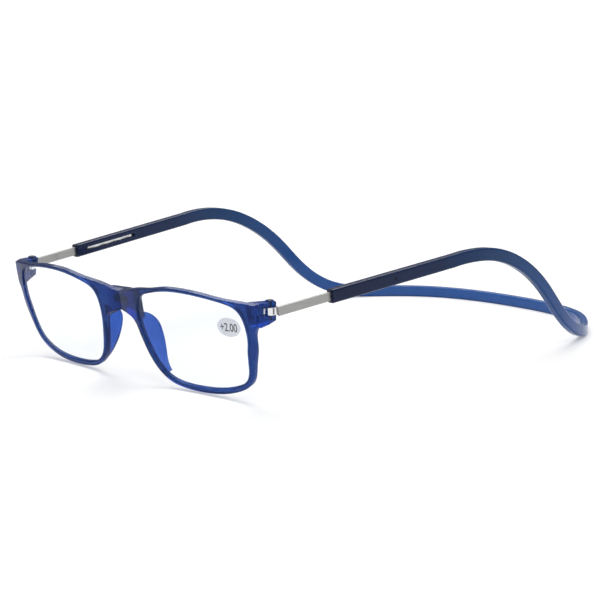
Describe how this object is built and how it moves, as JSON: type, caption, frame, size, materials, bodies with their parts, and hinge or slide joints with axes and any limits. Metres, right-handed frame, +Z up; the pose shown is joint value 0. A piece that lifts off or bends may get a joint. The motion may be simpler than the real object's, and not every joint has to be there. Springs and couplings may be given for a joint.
{
  "type": "magnetic bridge reading glasses",
  "caption": "Blue reading glasses that part at a magnetic bridge, with steel temple bars that slide in a neck band",
  "frame": {"origin": "Under the middle of the neck band's back, on the surface that the glasses lie on", "axes": "+X to the wearer's left, +Y from the front to the back of the head, +Z up"},
  "size_m": [0.1552, 0.2255, 0.046],
  "materials": {
    "front_plastic": "glossy translucent royal blue",
    "pad_plastic": "glossy translucent bright blue",
    "lens_plastic": "polished clear",
    "magnet_nickel": "dark nickel plate",
    "screw_steel": "dark steel",
    "barrel_nickel": "bright",
    "bar_steel": "satin",
    "spring_steel": "satin",
    "band_plastic": "glossy translucent dark blue",
    "sticker_paper": "pale film with printed numerals"
  },
  "bodies": {
    "band": {"neck_band": "band_plastic", "sleeve_spring_left": "spring_steel", "sleeve_spring_right": "spring_steel", "stop_pin_left": "screw_steel", "stop_pin_right": "screw_steel"},
    "bar_left": {"temple_bar_left": "bar_steel", "hinge_barrel_left": "barrel_nickel"},
    "bar_right": {"temple_bar_right": "bar_steel", "hinge_barrel_right": "barrel_nickel"},
    "front_left": {"rim_left": "front_plastic", "lens_left": "lens_plastic", "nose_pad_left": "pad_plastic", "bridge_magnet_left": "magnet_nickel", "hinge_screw_left": "screw_steel", "power_sticker": "sticker_paper"},
    "front_right": {"rim_right": "front_plastic", "lens_right": "lens_plastic", "nose_pad_right": "pad_plastic", "bridge_magnet_right": "magnet_nickel", "hinge_screw_right": "screw_steel"}
  },
  "joints": [
    {"name": "bar_slide_left", "type": "slide", "parent": "band", "child": "bar_left", "axis": [0.0607, 0.9927, 0.1043], "range_m": [0, 0.02]},
    {"name": "bar_slide_right", "type": "slide", "parent": "band", "child": "bar_right", "axis": [-0.0607, 0.9927, 0.1043], "range_m": [0, 0.02]},
    {"name": "front_hinge_left", "type": "hinge", "parent": "bar_left", "child": "front_left", "pos_m": [0.06687, -0.2087, 0.0337], "axis": [0, 0, 1], "range_deg": [0, 70]},
    {"name": "front_hinge_right", "type": "hinge", "parent": "bar_right", "child": "front_right", "pos_m": [-0.06687, -0.2087, 0.0337], "axis": [0, 0, -1], "range_deg": [0, 70]}
  ]
}
